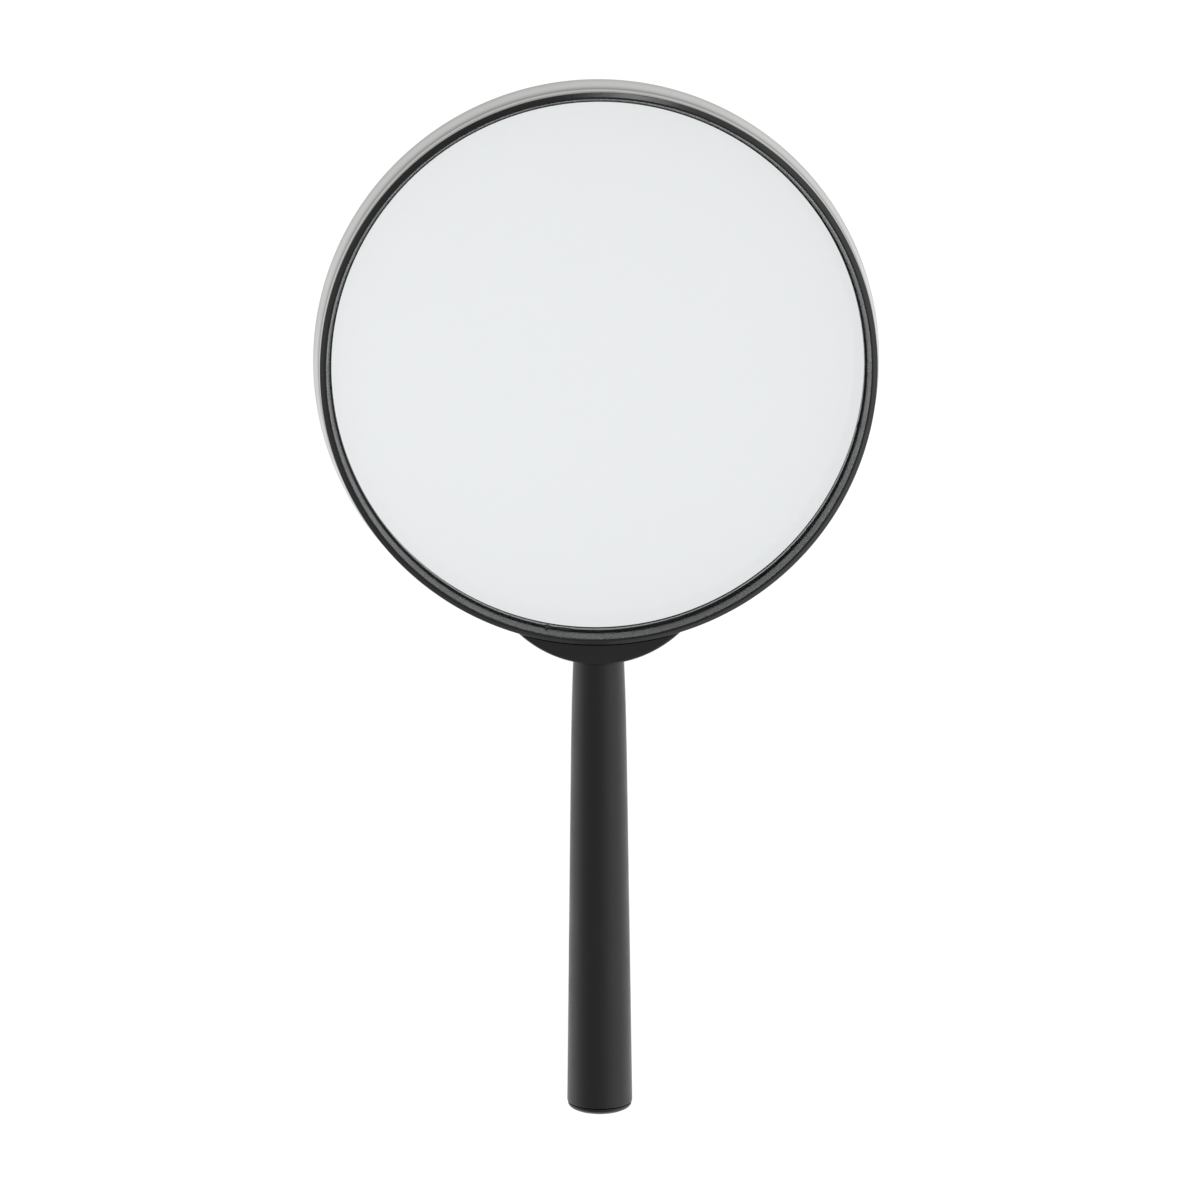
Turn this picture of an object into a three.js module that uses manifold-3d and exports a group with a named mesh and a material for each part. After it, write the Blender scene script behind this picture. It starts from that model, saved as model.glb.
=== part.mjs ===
// Hand magnifying glass lying flat on its rear rim: a biconvex lens between two black bezels,
// hooked together by a bright split band, with a saddle and a tapered handle that screws on.
// Millimetres, +Z up. The optical axis is parallel to +Z and the handle points to -Y.
// The origin is the bottom centre of the whole object's box.
import * as THREE from 'three';
import { mergeVertices } from 'three/addons/utils/BufferGeometryUtils.js';
import Module from 'manifold-3d';

const wasm = await Module();
wasm.setup();

// ---- driving dimensions ----------------------------------------------------
const fit = 0.3; // clearance between pieces that touch
const closeFit = 0.15; // clearance between clamped faces

// lens
const lensRadius = 50.3;
const lensEdge = 2.4; // thickness at the ground edge
const lensRecess = 1.4; // how far its faces stay inside the rim

// bezels; heights are measured from the middle plane of the lens
const bezelStand = 3; // how far each bezel stands past the band
const lipCover = 0.6; // how far each bezel's lip covers the lens
const lipHeight = 1.6; // straight wall of the lip
const bevelWidth = 0.95; // radial width of the bevel from lip to crest
const crestFlat = 0.3; // flat on top of the front crest
const shoulderWidth = 0.9; // radial width of the front shoulder
const flangeEdge = 2.0; // straight wall between the front shoulder and the band
const restFlat = 1.2; // flat ring that the glass lies on
const collarFit = 0.6; // between each collar and the band, which leaves room for the stud's head
const heelWidth = 0.65; // radial width of the rounded edge beside that flat
const heelDepth = 1.2; // height of the same edge

// bright band
const bandWidth = 9;
const bandWall = 0.6;
const bandSpread = 1.35; // how much larger its radius is at the rear than at the front
const bandHook = 0.55; // inward hook on each edge, which holds the bezels
const bandSplit = 0.4; // open joint, at the saddle

const cushionWall = 0.7; // vinyl ring round the edge of the lens

// saddle
const saddleWall = 0.9; // between the handle's socket and the front and back faces
const saddleDrop = 2.7; // how far it reaches past the band, on the handle's axis
const saddleCurve = 22; // radius of its lower edge, seen from the front
const saddleSoftening = 0.7; // rounding of its front and back edges
const socketDepth = 1.0; // recess that takes the top of the handle

// joint plate across the band's split, with its two rivets
const plateWall = 0.6;
const plateWidth = 14;
const plateDepth = 6.4;
const rivetPitch = 9.6;
const rivetRadius = 0.7;
const rivetHeadRadius = 1.1;
const rivetHeadHeight = 0.3;

// stud, nut and washers
const studRadius = 1.5;
const studHeadLedge = 0.6; // how far the head reaches past the shank
const studHeadHeight = 0.5;
const studEngagement = 8; // length of stud inside the threaded insert
const nutAcrossFlats = 5.5;
const nutHeight = 1.8;
const lockWasherWidth = 1.1;
const lockWasherHeight = 0.6;
const lockWasherSplit = 0.5;
const frictionWasherInset = 0.3; // how much smaller it is than the top of the handle
const frictionWasherHeight = 0.6;

// handle
const handleTopRadius = 4.8;
const neckFlare = 0.45; // growth in radius along the neck
const neckLength = 14;
const bodyFlare = 1.0; // growth in radius from the neck to the end
const handleLength = 86.7;
const handleEdge = 0.3; // rounding at both ends
const coreTopRadius = 2.3; // hollow core, which widens towards the end
const coreStep = 0.6; // how much less its radius is at the end than the plug's
const insertRadius = 3.0;
const insertLength = 12;
const insertGrooveDepth = 0.35;
const insertGrooveWidth = 2;

// end cap
const capDome = 1.9;
const plugInset = 2.25; // how much smaller the plug is than the end of the handle
const plugLength = 8;
const plugWall = 1.2;

// facets
const ringSides = 96;
const handleSides = 32;
const smallSides = 16;
const domeSteps = 5;
const edgeSteps = 3;

// ---- sizes that follow from them -------------------------------------------
const halfEdge = lensEdge / 2;
const halfBand = bandWidth / 2;
const halfDepth = halfBand + bezelStand;
const rimDepth = 2 * halfDepth;
const shoulderDepth = bezelStand - fit - flangeEdge;
const lensBulge = halfDepth - halfEdge - lensRecess;
const lensCurve = (lensRadius ** 2 + lensBulge ** 2) / (2 * lensBulge);
const faceHeightAt = (r) => Math.sqrt(lensCurve ** 2 - r ** 2) - Math.sqrt(lensCurve ** 2 - lensRadius ** 2);

const lipRadius = lensRadius - lipCover;
const lipSeat = halfEdge + faceHeightAt(lipRadius) + fit;
const lipTop = lipSeat + lipHeight;
const crestInner = lipRadius + bevelWidth;
const crestOuter = crestInner + crestFlat;
const frontFlange = crestOuter + shoulderWidth;
const rearFlange = crestInner + restFlat + heelWidth;

const bandFront = frontFlange; // flush with the front bezel
const bandRear = bandFront + bandSpread;
const bandOuterAt = (z) => bandFront + bandSpread * (halfBand - z) / bandWidth;
const bandInnerAt = (z) => bandOuterAt(z) - bandWall;
const hookBack = halfBand - bandWall;
const hookInnerAt = (edge) => bandInnerAt(edge) - bandHook;
const grooveSide = hookBack - fit;
const flangeSide = halfBand + fit;
const collarAt = (z) => bandInnerAt(z) - collarFit;

const saddleDepth = 2 * (handleTopRadius + fit + saddleWall);
const studHeadRadius = studRadius + studHeadLedge;
const lockWasherRadius = studRadius + closeFit + lockWasherWidth;
const neckRadius = handleTopRadius + neckFlare;
const handleEndRadius = neckRadius + bodyFlare;
const plugRadius = handleEndRadius - plugInset;
const coreEndRadius = plugRadius - coreStep;

const plateInnerAt = (z) => bandOuterAt(z) + fit;
const plateOuterAt = (z) => plateInnerAt(z) + plateWall;
const rivetHeadStart = plateOuterAt(-rivetHeadRadius) + closeFit;
const pocketRadius = rivetHeadStart + rivetHeadHeight + closeFit;
const saddleEnd = bandRear + saddleDrop;
const socketFloor = saddleEnd - socketDepth;

const studHeadEnd = plateInnerAt(studHeadRadius) - closeFit;
const stackStart = socketFloor + closeFit;
const nutStart = stackStart + lockWasherHeight + closeFit;
const handleStart = stackStart + frictionWasherHeight + closeFit;
const nutCorner = nutAcrossFlats / Math.sqrt(3);
const nutRecessEnd = nutStart + nutHeight + fit;
const insertStart = nutRecessEnd + fit;
const insertEnd = insertStart + insertLength;
const studEnd = insertStart + studEngagement;
const handleEnd = handleStart + handleLength;
const capStart = handleEnd + closeFit;
const capEnd = capStart + capDome;

const overallLength = bandRear + capEnd;
const ringCentreY = overallLength / 2 - bandRear;

// ---- finishes --------------------------------------------------------------
const finish = (color, roughness, metalness) => (
  new THREE.MeshStandardMaterial({ color, roughness, metalness })
);
const blackBezel = finish(0x30312f, 0.3, 0);
const blackHandle = finish(0x2b2b2c, 0.38, 0);
const brightBand = finish(0xb9bab8, 0.22, 1);
const zincSteel = finish(0xa9abad, 0.35, 1);
const brass = finish(0xb08d45, 0.35, 1);
const opticalGlass = finish(0xe8ebea, 0.02, 0);
const greyVinyl = finish(0x8d9090, 0.5, 0);
const fibre = finish(0x6b3f33, 0.8, 0);

// ---- geometry helpers ------------------------------------------------------
// A body turned about local Y from [radius, height] points, anticlockwise, which close on
// themselves or on the axis.
function turned(outline, sides) {
  const points = outline.map(([r, h]) => new THREE.Vector2(r, h));
  if (outline[0][0] > 0) points.push(points[0].clone());
  return new THREE.LatheGeometry(points, sides);
}

// The same about local Z, for what is round about the optical axis.
function turnedAboutZ(outline, sides) {
  return turned(outline, sides).rotateX(Math.PI / 2);
}

// Points along a quarter of an ellipse from angle a to angle b, in quarter turns.
function quarter(centreR, centreH, halfWidth, halfHeight, a, b, steps = edgeSteps) {
  return Array.from({ length: steps + 1 }, (_, i) => {
    const angle = (a + (b - a) * i / steps) * Math.PI / 2;
    return [centreR + halfWidth * Math.cos(angle), centreH + halfHeight * Math.sin(angle)];
  });
}

// A rod along local Y from one distance to another.
function rod(radius, start, end, sides = smallSides) {
  return new THREE.CylinderGeometry(radius, radius, end - start, sides)
    .translate(0, (start + end) / 2, 0);
}

// A box along local Y from one distance to another.
function bar(width, start, end, depth) {
  return new THREE.BoxGeometry(width, end - start, depth).translate(0, (start + end) / 2, 0);
}

function solid(geometry) {
  const bare = geometry.clone();
  bare.deleteAttribute('normal');
  bare.deleteAttribute('uv');
  const merged = mergeVertices(bare, 1e-4);
  return new wasm.Manifold(new wasm.Mesh({
    numProp: 3,
    vertProperties: new Float32Array(merged.attributes.position.array),
    triVerts: new Uint32Array(merged.index.array),
  }));
}

function geometryOf(body) {
  const mesh = body.getMesh();
  const geometry = new THREE.BufferGeometry();
  geometry.setAttribute('position', new THREE.BufferAttribute(mesh.vertProperties, 3));
  geometry.setIndex(new THREE.BufferAttribute(mesh.triVerts, 1));
  geometry.computeVertexNormals();
  return geometry;
}

function cut(geometry, ...cutters) {
  return geometryOf(cutters.reduce((body, cutter) => body.subtract(solid(cutter)), solid(geometry)));
}

function common(a, b) {
  return geometryOf(solid(a).intersect(solid(b)));
}

function named(name, geometry, material) {
  const mesh = new THREE.Mesh(geometry, material);
  mesh.name = name;
  return mesh;
}

// ---- pieces round the optical axis -----------------------------------------
function lens() {
  const face = Array.from({ length: domeSteps + 1 }, (_, i) => lensRadius * i / domeSteps)
    .map((r) => [r, halfEdge + faceHeightAt(r)]);
  const rear = face.map(([r, h]) => [r, -h]);
  return turnedAboutZ([...rear, ...face.reverse()], ringSides);
}

function lensCushion() {
  const inner = lensRadius + fit;
  const outer = inner + cushionWall;
  const half = lipSeat - fit;
  return turnedAboutZ([[inner, -half], [outer, -half], [outer, half], [inner, half]], ringSides);
}

function frontBezel() {
  const groove = hookInnerAt(halfBand) - fit;
  return turnedAboutZ([
    [lipRadius, lipSeat],
    [collarAt(lipSeat), lipSeat],
    [collarAt(grooveSide), grooveSide],
    [groove, grooveSide],
    [groove, flangeSide],
    [frontFlange, flangeSide],
    ...quarter(crestOuter, halfDepth - shoulderDepth, shoulderWidth, shoulderDepth, 0, 1),
    [crestInner, halfDepth],
    [lipRadius, lipTop],
  ], ringSides);
}

function rearBezel() {
  const groove = hookInnerAt(-halfBand) - fit;
  const heelInner = crestInner + restFlat;
  return turnedAboutZ([
    [lipRadius, -lipTop],
    [crestInner, -halfDepth],
    ...quarter(heelInner, heelDepth - halfDepth, heelWidth, heelDepth, -1, 0),
    [rearFlange, -flangeSide],
    [groove, -flangeSide],
    [groove, -grooveSide],
    [collarAt(-grooveSide), -grooveSide],
    [collarAt(-lipSeat), -lipSeat],
    [lipRadius, -lipSeat],
  ], ringSides);
}

// Rolled strip of C section, split at the saddle, with holes for the stud's head and the rivets.
function rimBand() {
  const hoop = turnedAboutZ([
    [bandRear, -halfBand],
    [bandFront, halfBand],
    [hookInnerAt(halfBand), halfBand],
    [hookInnerAt(halfBand), hookBack],
    [bandInnerAt(hookBack), hookBack],
    [bandInnerAt(-hookBack), -hookBack],
    [hookInnerAt(-halfBand), -hookBack],
    [hookInnerAt(-halfBand), -halfBand],
  ], ringSides).rotateZ(Math.PI);
  const wallStart = bandInnerAt(halfBand) - bandHook - fit;
  const wallEnd = bandRear + fit;
  return cut(
    hoop,
    bar(bandSplit, wallStart, wallEnd, bandWidth + fit),
    rod(studHeadRadius + fit, wallStart, wallEnd),
    ...rivetRods(rivetRadius + closeFit, wallStart, wallEnd),
  );
}

// ---- pieces on the handle's axis; local +Y points away from the lens ---------
const rivetAngles = [-1, 1].map((side) => side * rivetPitch / 2 / plateInnerAt(0));

function rivetRods(radius, start, end) {
  return rivetAngles.map((angle) => rod(radius, start, end).rotateZ(angle));
}

function jointPlate() {
  const half = plateDepth / 2;
  const ring = turnedAboutZ([
    [plateInnerAt(-half), -half],
    [plateOuterAt(-half), -half],
    [plateOuterAt(half), half],
    [plateInnerAt(half), half],
  ], ringSides).rotateZ(Math.PI);
  const curved = common(ring, bar(plateWidth, bandFront / 2, pocketRadius, rimDepth));
  return cut(
    curved,
    rod(studRadius + closeFit, bandFront / 2, pocketRadius),
    ...rivetRods(rivetRadius + closeFit, bandFront / 2, pocketRadius),
  );
}

function jointRivet() {
  const shankStart = bandInnerAt(0) + closeFit;
  const headEnd = rivetHeadStart + rivetHeadHeight;
  return turned([
    [0, shankStart],
    [rivetRadius, shankStart],
    [rivetRadius, rivetHeadStart],
    ...quarter(0, rivetHeadStart, rivetHeadRadius, headEnd - rivetHeadStart, 0, 1),
  ], smallSides);
}

function stud() {
  const point = studRadius / 3;
  return turned([
    [0, studHeadEnd - studHeadHeight],
    [studHeadRadius, studHeadEnd - studHeadHeight],
    [studHeadRadius, studHeadEnd],
    [studRadius, studHeadEnd],
    [studRadius, studEnd - point],
    [studRadius - point, studEnd],
    [0, studEnd],
  ], smallSides);
}

// Everything inside this is left to the rim.
function rimEnvelope() {
  const reach = saddleDepth;
  const step = halfBand + fit / 2;
  return turnedAboutZ([
    [0, -reach],
    [rearFlange + fit, -reach],
    [rearFlange + fit, -step],
    [bandOuterAt(-step) + fit, -step],
    [bandOuterAt(step) + fit, step],
    [frontFlange + fit, step],
    [frontFlange + fit, reach],
    [0, reach],
  ], ringSides);
}

// Room for the joint plate and the rivets' heads.
function platePocket() {
  const disc = turnedAboutZ([
    [0, -plateDepth / 2 - fit],
    [pocketRadius, -plateDepth / 2 - fit],
    [pocketRadius, plateDepth / 2 + fit],
    [0, plateDepth / 2 + fit],
  ], ringSides);
  return common(disc, bar(plateWidth + 2 * fit, bandFront / 2, saddleEnd, rimDepth));
}

// Fan under the rim: a slice of a round disc, hollowed to sit on the band.
function saddle() {
  const centre = saddleEnd - saddleCurve;
  const faceRadius = saddleCurve - saddleSoftening;
  const chord = lipRadius - 2 * saddleSoftening; // hidden inside the rim
  const halfSlice = Math.acos((chord - centre) / faceRadius);
  const face = new THREE.Shape();
  face.absarc(0, centre, faceRadius, Math.PI / 2 - halfSlice, Math.PI / 2 + halfSlice, false);
  const block = new THREE.ExtrudeGeometry(face, {
    depth: saddleDepth - 2 * saddleSoftening,
    curveSegments: 28,
    bevelThickness: saddleSoftening,
    bevelSize: saddleSoftening,
    bevelSegments: 2,
  }).translate(0, 0, saddleSoftening - saddleDepth / 2);
  return cut(
    block,
    rimEnvelope(),
    platePocket(),
    rod(studRadius + fit, bandFront / 2, saddleEnd),
    rod(handleTopRadius + fit, socketFloor, saddleEnd + fit, handleSides),
  );
}

function washer(inner, outer, start, height, sides = smallSides) {
  return turned([[inner, start], [outer, start], [outer, start + height], [inner, start + height]], sides);
}

function frictionWasher() {
  const outer = handleTopRadius - frictionWasherInset;
  return washer(nutCorner + fit, outer, stackStart, frictionWasherHeight);
}

function lockWasher() {
  return cut(
    washer(studRadius + closeFit, lockWasherRadius, stackStart, lockWasherHeight),
    new THREE.BoxGeometry(lockWasherSplit, 2 * lockWasherHeight, lockWasherRadius + fit)
      .rotateY(Math.PI / 2)
      .translate((lockWasherRadius + fit) / 2, stackStart + lockWasherHeight / 2, 0),
  );
}

function saddleNut() {
  return cut(
    new THREE.CylinderGeometry(nutCorner, nutCorner, nutHeight, 6).translate(0, nutStart + nutHeight / 2, 0),
    rod(studRadius + closeFit, nutStart - fit, nutStart + nutHeight + fit),
  );
}

function handleInsert() {
  const inner = studRadius + closeFit;
  const waist = insertRadius - insertGrooveDepth;
  const middle = (insertStart + insertEnd) / 2;
  return turned([
    [inner, insertStart],
    [insertRadius, insertStart],
    [insertRadius, middle - insertGrooveWidth / 2],
    [waist, middle - insertGrooveWidth / 2],
    [waist, middle + insertGrooveWidth / 2],
    [insertRadius, middle + insertGrooveWidth / 2],
    [insertRadius, insertEnd],
    [inner, insertEnd],
  ], smallSides);
}

function handle() {
  const nutRecess = nutCorner + fit;
  const insertBore = insertRadius + closeFit;
  const plugBore = plugRadius + closeFit;
  const plugBoreStart = handleEnd - plugLength - fit;
  return turned([
    [nutRecess, handleStart],
    ...quarter(handleTopRadius - handleEdge, handleStart + handleEdge, handleEdge, handleEdge, -1, 0),
    [(handleTopRadius + neckRadius) / 2, handleStart + neckLength * 0.4],
    [neckRadius, handleStart + neckLength],
    ...quarter(handleEndRadius - handleEdge, handleEnd - handleEdge, handleEdge, handleEdge, 0, 1),
    [plugBore, handleEnd],
    [plugBore, plugBoreStart],
    [coreEndRadius, plugBoreStart],
    [coreTopRadius, insertEnd + fit],
    [insertBore, insertEnd + fit],
    [insertBore, nutRecessEnd],
    [nutRecess, nutRecessEnd],
  ], handleSides);
}

function endCap() {
  const plugInner = plugRadius - plugWall;
  const domeRadius = handleEndRadius - closeFit;
  return turned([
    [0, capStart],
    [plugInner, capStart],
    [plugInner, capStart - plugLength],
    [plugRadius, capStart - plugLength],
    [plugRadius, capStart],
    ...quarter(0, capStart, domeRadius, capDome, 0, 1, domeSteps),
  ], handleSides);
}

// ---- assembly --------------------------------------------------------------
const rim = new THREE.Group();
rim.position.set(0, ringCentreY, halfDepth);
rim.add(
  named('lens', lens(), opticalGlass),
  named('lens_cushion', lensCushion(), greyVinyl),
  named('front_bezel', frontBezel(), blackBezel),
  named('rear_bezel', rearBezel(), blackBezel),
);

const handleSide = new THREE.Group();
handleSide.rotation.z = Math.PI;
handleSide.add(
  named('rim_band', rimBand(), brightBand),
  named('joint_plate', jointPlate(), zincSteel),
  named('handle_stud', stud(), zincSteel),
  named('saddle', saddle(), blackHandle),
  named('saddle_lock_washer', lockWasher(), zincSteel),
  named('saddle_nut', saddleNut(), zincSteel),
  named('friction_washer', frictionWasher(), fibre),
  named('handle_insert', handleInsert(), brass),
  named('handle', handle(), blackHandle),
  named('handle_end_cap', endCap(), blackHandle),
);
['left', 'right'].forEach((side, i) => {
  const rivet = named(`joint_rivet_${side}`, jointRivet(), zincSteel);
  rivet.rotation.z = rivetAngles[i];
  handleSide.add(rivet);
});
rim.add(handleSide);

const magnifyingGlass = new THREE.Group();
magnifyingGlass.add(rim);

export default magnifyingGlass;
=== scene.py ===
import math

import bmesh
import bpy
from bpy.props import FloatProperty, FloatVectorProperty, IntProperty, PointerProperty
from bpy.types import NodeSocket, Operator, Panel, PropertyGroup
from mathutils import Matrix, Vector


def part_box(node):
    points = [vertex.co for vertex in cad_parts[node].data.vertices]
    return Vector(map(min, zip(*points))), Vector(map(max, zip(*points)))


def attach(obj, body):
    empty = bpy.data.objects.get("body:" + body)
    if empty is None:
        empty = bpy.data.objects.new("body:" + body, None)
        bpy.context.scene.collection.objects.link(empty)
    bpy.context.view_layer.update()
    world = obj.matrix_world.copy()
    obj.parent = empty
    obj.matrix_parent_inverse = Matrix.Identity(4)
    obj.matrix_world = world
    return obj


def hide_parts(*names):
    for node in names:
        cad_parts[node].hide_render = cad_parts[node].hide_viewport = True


bl_info = {
    "name": "Hand Magnifying Glass",
    "version": (1, 0, 0),
    "blender": (4, 5, 0),
    "location": "3D View > Sidebar > Magnifier",
    "description": "Builds a hand magnifying glass round its mechanical frame",
    "category": "Add Mesh",
}

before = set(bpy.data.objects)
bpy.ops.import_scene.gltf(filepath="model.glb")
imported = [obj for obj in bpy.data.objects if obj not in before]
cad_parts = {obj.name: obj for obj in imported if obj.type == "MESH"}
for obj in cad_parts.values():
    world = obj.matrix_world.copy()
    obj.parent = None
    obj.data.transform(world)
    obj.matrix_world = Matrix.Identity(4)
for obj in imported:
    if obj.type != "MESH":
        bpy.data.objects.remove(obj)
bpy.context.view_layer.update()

MM = 0.001
FULL_TURN = 360

# How near two places are when they count as one, in metres.
ON_AXIS = 1e-9
MERGE = 1e-7
SAME = 1e-6

# How many faces go round a turned piece.
RING_STEPS = 540
GRIP_STEPS = 128
SMALL_STEPS = 96
STUD_STEPS = 64
RIVET_STEPS = 48
THREAD_STEPS = 32

# Fixed sizes of the small hardware and the hidden faces, in mm.
RIVET_SHANK = 0.7
RIVET_HEAD = 1.1
RIVET_HEAD_HEIGHT = 0.3
RIVET_HOLE = 0.85
STUD_HEAD_HEIGHT = 0.5
STUD_HOLE = 1.8
THREAD_ROOM = 0.15
NUT_CHAMFER = 0.3
NUT_FACE_EDGE = 0.05
WASHER_SPLIT = 0.5
INSERT_GROOVE_DEPTH = 0.35
INSERT_GROOVE_HALF = 1
KNURL_DEPTH = 0.12
KNURL_ANGLE = 3.75  # degrees from one tooth to the next gap
CAP_LEDGE = 2.25
PLUG_WALL = 1.2
PLUG_STEP = 0.6
HANDLE_BORE = 2.3
CUT_START = 45  # where the cutters inside the rim begin, from the ring's centre

# The ring's centre, in the middle plane of the lens.
LENS_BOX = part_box("lens")
CENTRE = (LENS_BOX[0] + LENS_BOX[1]) / 2


def reach(node):
    """How far a node starts and ends from the ring's centre, along the handle, in mm."""
    low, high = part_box(node)
    return (CENTRE.y - high.y) / MM, (CENTRE.y - low.y) / MM


def half_width(node):
    """Half of a node's width, in mm."""
    low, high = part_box(node)
    return (high.x - low.x) / 2 / MM


def heights(node):
    """Where a node lies behind and in front of the lens's middle plane, in mm."""
    low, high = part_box(node)
    return (low.z - CENTRE.z) / MM, (high.z - CENTRE.z) / MM


def linear(colour):
    """An sRGB hex value as linear red, green, blue and alpha."""
    channels = [int(colour[i : i + 2], 16) / 255 for i in (0, 2, 4)]
    return (*(c / 12.92 if c <= 0.04045 else ((c + 0.055) / 1.055) ** 2.4 for c in channels), 1)


def length(name, description, default):
    """A size that a user may change. Blender's camera unit is the millimetre."""
    return FloatProperty(name=name, description=description, default=default, precision=3, unit="CAMERA")


def colour(name, description, default):
    """A colour that a user may change, from its sRGB hex value."""
    return FloatVectorProperty(
        name=name, description=description, default=linear(default), size=4, subtype="COLOR", min=0, max=1
    )


# ---- sizes and colours that a user may change --------------------------------
class LensSizes(PropertyGroup):
    radius: length("Radius", "Radius of the lens (mm)", half_width("lens"))
    apex: length("Apex", "Height of each face over the middle plane (mm)", heights("lens")[1])
    edge: length("Edge", "Thickness at the ground edge (mm)", 2.4)
    chamfer: length("Chamfer", "Ground chamfer on both sharp edges (mm)", 0.2)
    steps: IntProperty(name="Steps", description="Steps round the ring", default=288, min=24)


class RimSizes(PropertyGroup):
    lip: length("Lip", "Inner radius of both bezels (mm)", 49.7)
    lip_seat: length("Lip seat", "Height of the face that holds the lens (mm)", 1.617)
    lip_top: length("Lip top", "Height where the bevel starts (mm)", 3.217)
    crest: length("Crest", "Inner radius of the crest (mm)", 50.65)
    cove: length("Cove", "How far inside the crest the front bevel turns steeper (mm)", 0.5)
    cove_rise: length("Cove rise", "Height of that turn over the lip (mm)", 0.75)
    crest_flat: length("Crest flat", "Width of the flat on the crest (mm)", 0.3)
    front_flange: length("Front flange", "Outer radius of the front bezel (mm)", half_width("front_bezel"))
    rear_flange: length("Rear flange", "Outer radius of the rear bezel (mm)", half_width("rear_bezel"))
    shoulder: length("Shoulder", "Height of the sloping front shoulder (mm)", 0.7)
    heel: length("Heel", "Height of the rounded rear edge (mm)", 1.2)
    heel_width: length("Heel width", "Width of the rounded rear edge (mm)", 0.65)
    band_front: length("Band front", "Radius of the band's front edge (mm)", 51.85)
    band_rear: length("Band rear", "Radius of the band's rear edge (mm)", half_width("rim_band"))
    band_half: length("Band half width", "Half of the band's width (mm)", heights("rim_band")[1])
    band_wall: length("Band wall", "Thickness of the rolled strip (mm)", 0.6)
    band_hook: length("Band hook", "How far its edges turn inwards (mm)", 0.55)
    band_split: length("Band split", "Open joint at the saddle (mm)", 0.4)
    clearance: length("Clearance", "Gap between the pieces (mm)", 0.3)


class SaddleSizes(PropertyGroup):
    curve: length("Curve", "Radius of the lower edge (mm)", 22)
    end: length("End", "Distance from the ring's centre to its lowest point (mm)", reach("saddle")[1])
    half_depth: length("Half depth", "Half of its depth (mm)", heights("saddle")[1])
    softening: length("Softening", "Rounding of the front and back edges (mm)", 0.7)
    socket_depth: length("Socket depth", "Recess for the top of the handle (mm)", 1.0)
    socket_radius: length("Socket radius", "Radius of the same recess (mm)", 5.1)


class HandleSizes(PropertyGroup):
    start: length("Start", "Distance from the ring's centre to its top (mm)", reach("handle")[0])
    end: length("End", "Distance from the ring's centre to its end (mm)", reach("handle")[1])
    top: length("Top", "Radius at the top (mm)", 4.8)
    neck: length("Neck", "Radius where the neck ends (mm)", 5.25)
    neck_length: length("Neck length", "Length of the slimmer neck (mm)", 14)
    foot: length("Foot", "Radius at the end (mm)", half_width("handle"))
    edge: length("Edge", "Rounding of both ends (mm)", 0.3)
    dome: length("Dome", "Height of the end cap's dome (mm)", 1.9)


class ScrewSizes(PropertyGroup):
    radius: length("Radius", "Outer radius of the stud's thread (mm)", 1.5)
    pitch: length("Pitch", "Travel for each turn (mm)", 0.5)
    depth: length("Depth", "Depth of the thread (mm)", 0.3)
    flats: length("Flats", "Width of the nut across its flats (mm)", 5.5)


class Finishes(PropertyGroup):
    bezel: colour("Bezel", "Black plastic of the bezels", "161716")
    handle: colour("Handle", "Black plastic of the handle and saddle", "18181a")
    band: colour("Band", "Aluminium of the band", "9c9c9a")
    glass: colour("Glass", "Tint of the lens", "eaeced")
    zinc: colour("Zinc", "Plated steel", "b9bcbf")
    brass: colour("Brass", "Machined brass", "c9a255")
    vinyl: colour("Vinyl", "Cushion round the lens", "8d9090")
    fibre: colour("Fibre", "Washer under the handle", "6b3f33")
    dust: colour("Dust", "Specks of dust", "b9b9b4")
    floor: colour("Floor", "Pale floor", "8c8c8b")


# ---- modelling ---------------------------------------------------------------
ROUND_STEPS = 4


def outline(bm, corners):
    """A flat face through (radius, height, rounding) corners in mm.

    A rounding may be left out, and one of two numbers gives its width and then its height.
    """
    verts = [bm.verts.new((r * MM, 0, h * MM)) for r, h, *_ in corners]
    bm.faces.new(verts)
    for vert, (_, _, *rounding) in zip(verts, corners):
        if not rounding:
            continue
        wide, high = rounding[0], rounding[-1]
        squeeze = wide / high
        bmesh.ops.scale(bm, vec=(1, 1, squeeze), verts=bm.verts)
        bmesh.ops.bevel(
            bm,
            geom=[vert],
            offset=wide * MM,
            offset_type="OFFSET",
            segments=ROUND_STEPS if max(wide, high) < 1 else 3 * ROUND_STEPS,
            profile=0.5,
            affect="VERTICES",
            material=-1,
        )
        bmesh.ops.scale(bm, vec=(1, 1, 1 / squeeze), verts=bm.verts)


def turn(bm, steps, angle=FULL_TURN):
    """Turns the outline about the Z axis. A part turn keeps both end faces."""
    full = angle == FULL_TURN
    if full:
        bmesh.ops.delete(bm, geom=bm.faces[:], context="FACES_ONLY")
        on_axis = [e for e in bm.edges if all(v.co.x < ON_AXIS for v in e.verts)]
        bmesh.ops.delete(bm, geom=on_axis, context="EDGES")
    bmesh.ops.spin(
        bm,
        geom=bm.verts[:] + bm.edges[:] + bm.faces[:],
        cent=(0, 0, 0),
        axis=(0, 0, 1),
        dvec=(0, 0, 0),
        angle=math.radians(angle),
        steps=steps,
        use_merge=full,
    )
    tidy(bm)


def push(vert, radius):
    """Moves a vertex straight towards or away from the Z axis, to this radius in mm."""
    share = radius * MM / vert.co.xy.length
    vert.co.x *= share
    vert.co.y *= share


def tidy(bm):
    """Closes seams and poles, and points every face outwards."""
    bmesh.ops.remove_doubles(bm, verts=bm.verts, dist=MERGE)
    bmesh.ops.recalc_face_normals(bm, faces=bm.faces)
    if bm.calc_volume(signed=True) < 0:
        bmesh.ops.reverse_faces(bm, faces=bm.faces)


ROUND_LENS = Matrix.Translation(CENTRE)


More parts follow.
